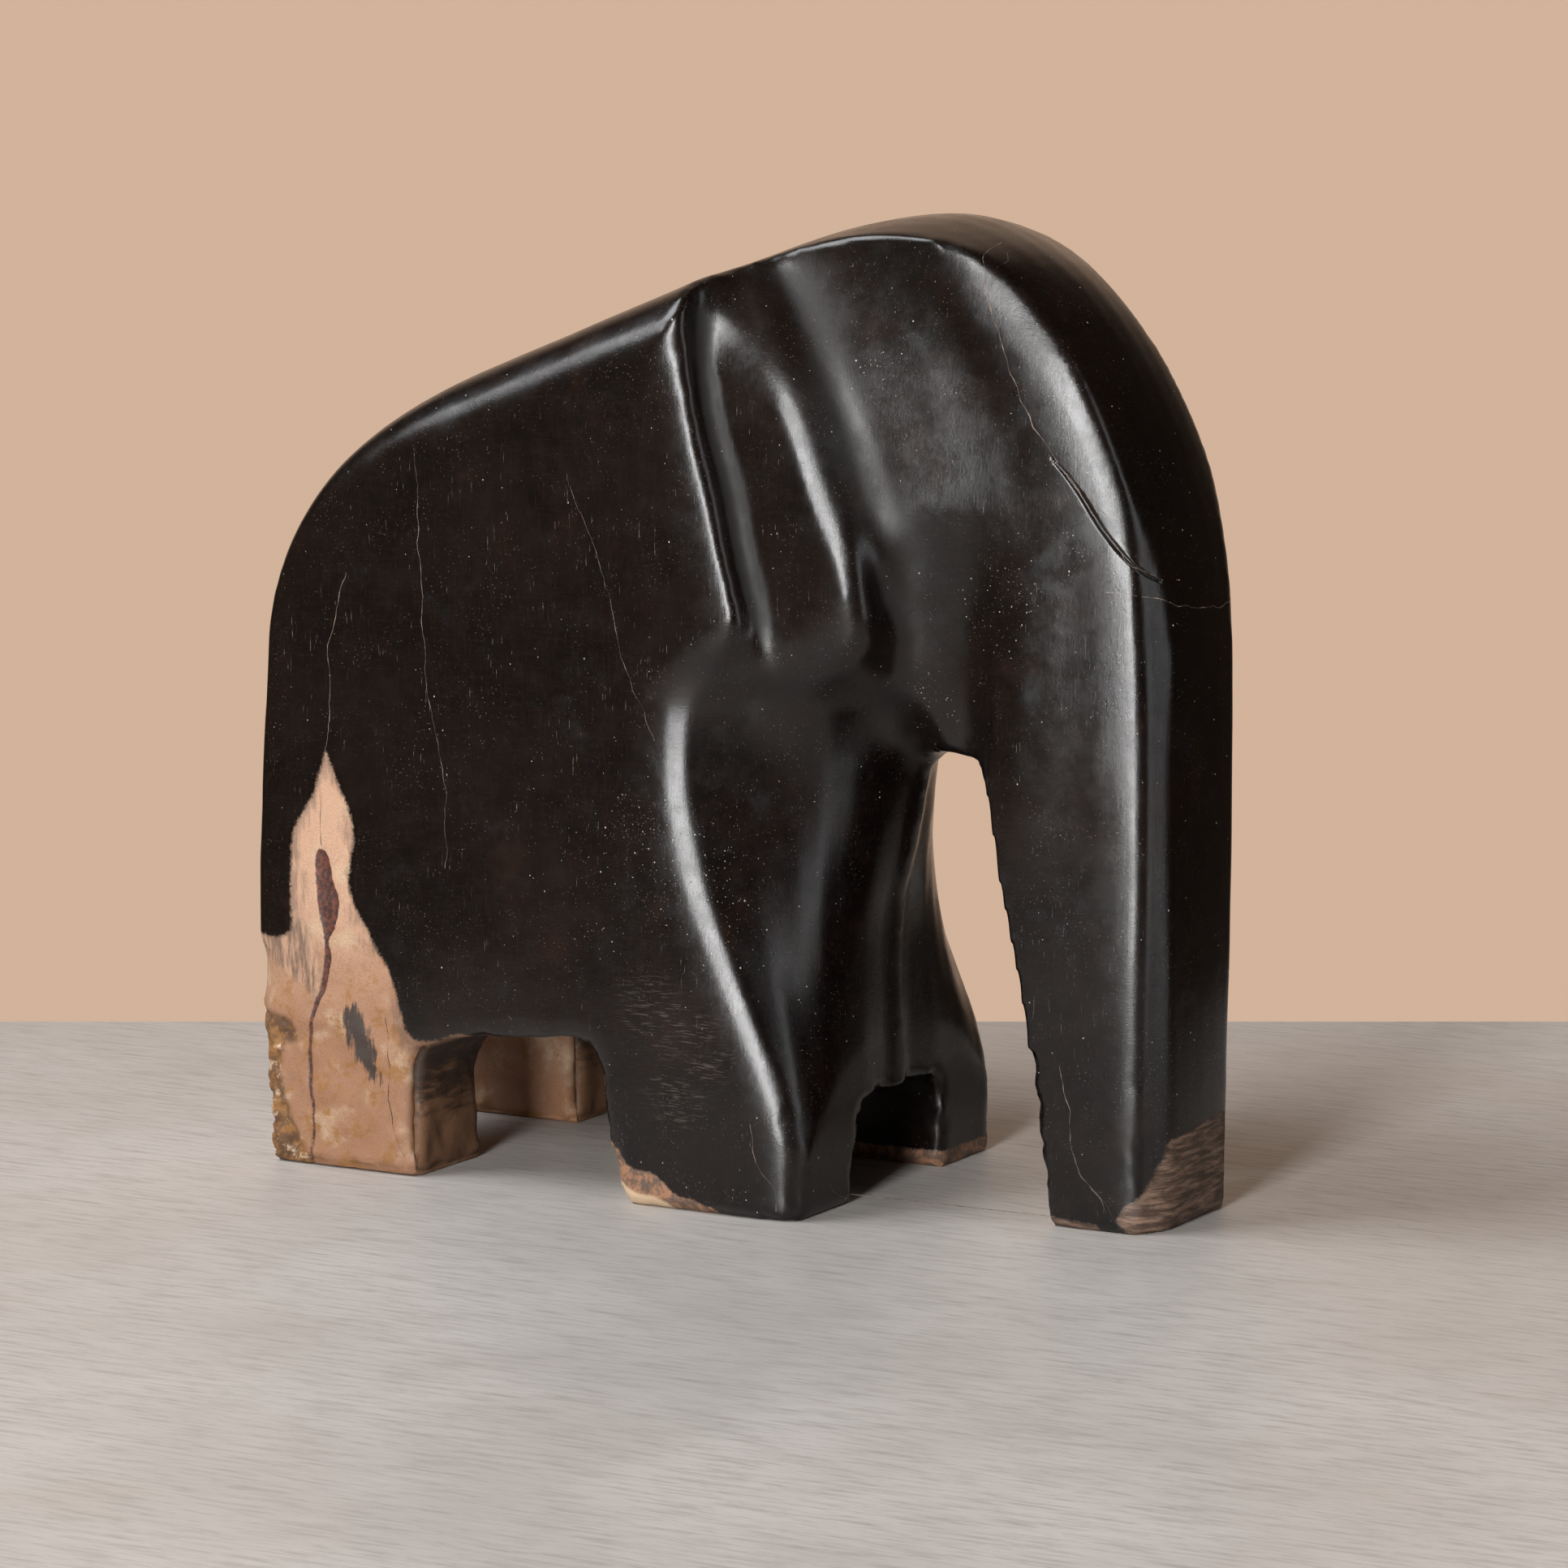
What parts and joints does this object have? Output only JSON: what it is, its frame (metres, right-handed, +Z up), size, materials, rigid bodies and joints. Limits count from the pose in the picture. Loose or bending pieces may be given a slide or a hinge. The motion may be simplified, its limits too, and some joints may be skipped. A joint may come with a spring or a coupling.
{
  "type": "elephant figurine",
  "caption": "Standing elephant carved from one block of dark petrified wood, with flat flanks, cut-in ears and a trunk that reaches the ground.",
  "frame": {"origin": "middle of the bounding box at the level of the soles", "axes": "+X forward to the head, +Y to the elephant's left, +Z up"},
  "size_m": [0.179, 0.079, 0.18],
  "materials": {
    "petrified_wood": "polished near-black fossil heartwood with rough tan rind at the feet and the trunk's tip"
  },
  "bodies": {
    "root": {"elephant_carving": "petrified_wood"}
  },
  "joints": []
}
